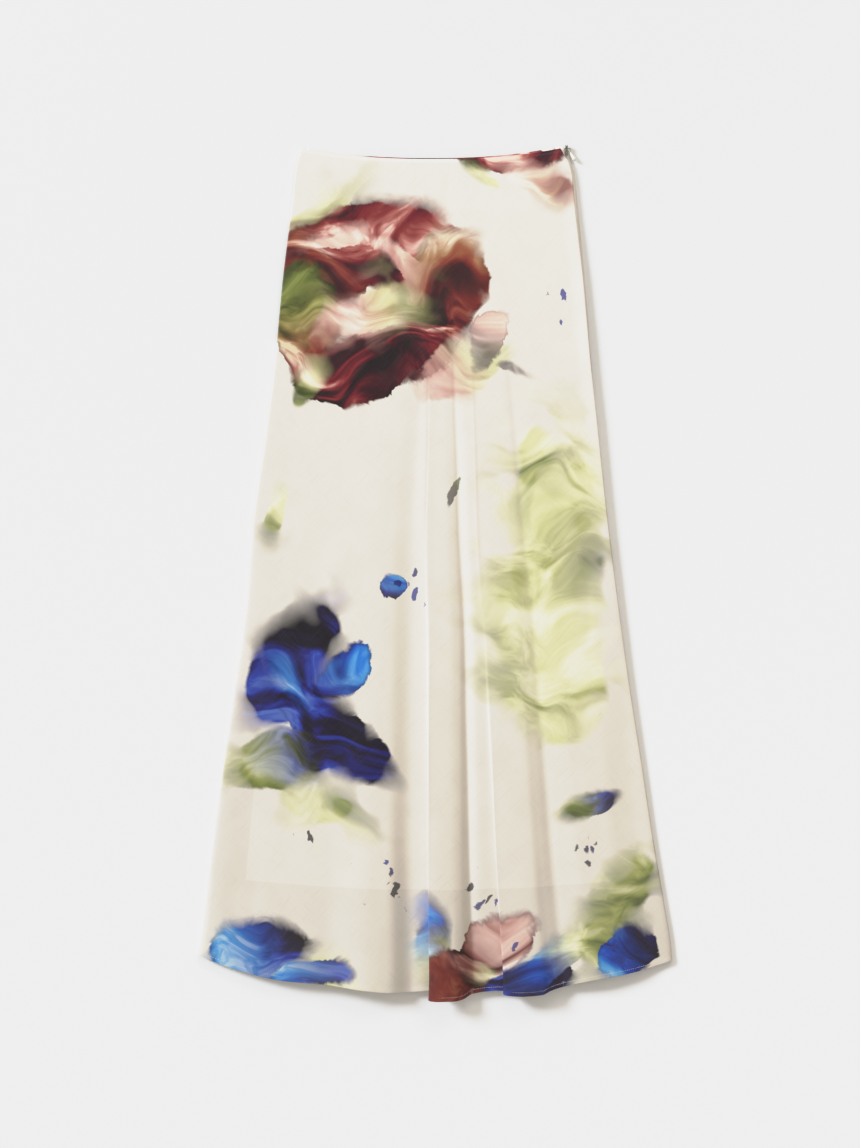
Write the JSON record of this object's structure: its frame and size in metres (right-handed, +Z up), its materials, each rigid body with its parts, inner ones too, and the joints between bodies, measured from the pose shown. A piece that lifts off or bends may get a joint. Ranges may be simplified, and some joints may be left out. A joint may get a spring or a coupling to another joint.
{
  "type": "maxi skirt laid flat",
  "caption": "Long A-line skirt in printed satin, laid flat with soft flutes running to a narrow hem and a side zip with a small pull.",
  "frame": {"origin": "on the back panel's flat underside, midway along the skirt", "axes": "+Z up off the surface that the skirt lies on, +Y towards the waist, +X towards the side with the zip"},
  "size_m": [0.5668, 1.0238, 0.0257],
  "materials": {
    "printed_satin": "soft satin twill, ivory ground with a blurred watercolour print",
    "facing_satin": "soft satin twill",
    "lining_voile": "matt plain weave, ivory",
    "zip_cotton": "woven zip tape, cream",
    "slider_metal": "dark lacquered metal",
    "pull_enamel": "ivory lacquer"
  },
  "bodies": {
    "skirt": {"front_panel": "printed_satin", "back_panel": "printed_satin", "front_hem": "printed_satin", "back_hem": "printed_satin", "back_waist_facing": "facing_satin", "front_lining": "lining_voile", "back_lining": "lining_voile", "zip_tape_front": "zip_cotton", "zip_tape_back": "zip_cotton", "zip_slider": "slider_metal"},
    "pull": {"zip_pull": "pull_enamel"}
  },
  "joints": [
    {"name": "pull_swing", "type": "hinge", "parent": "skirt", "child": "pull", "pos_m": [0.1594, 0.5092, 0.004], "axis": [0, 0, 1], "range_deg": [-5, 125]}
  ]
}
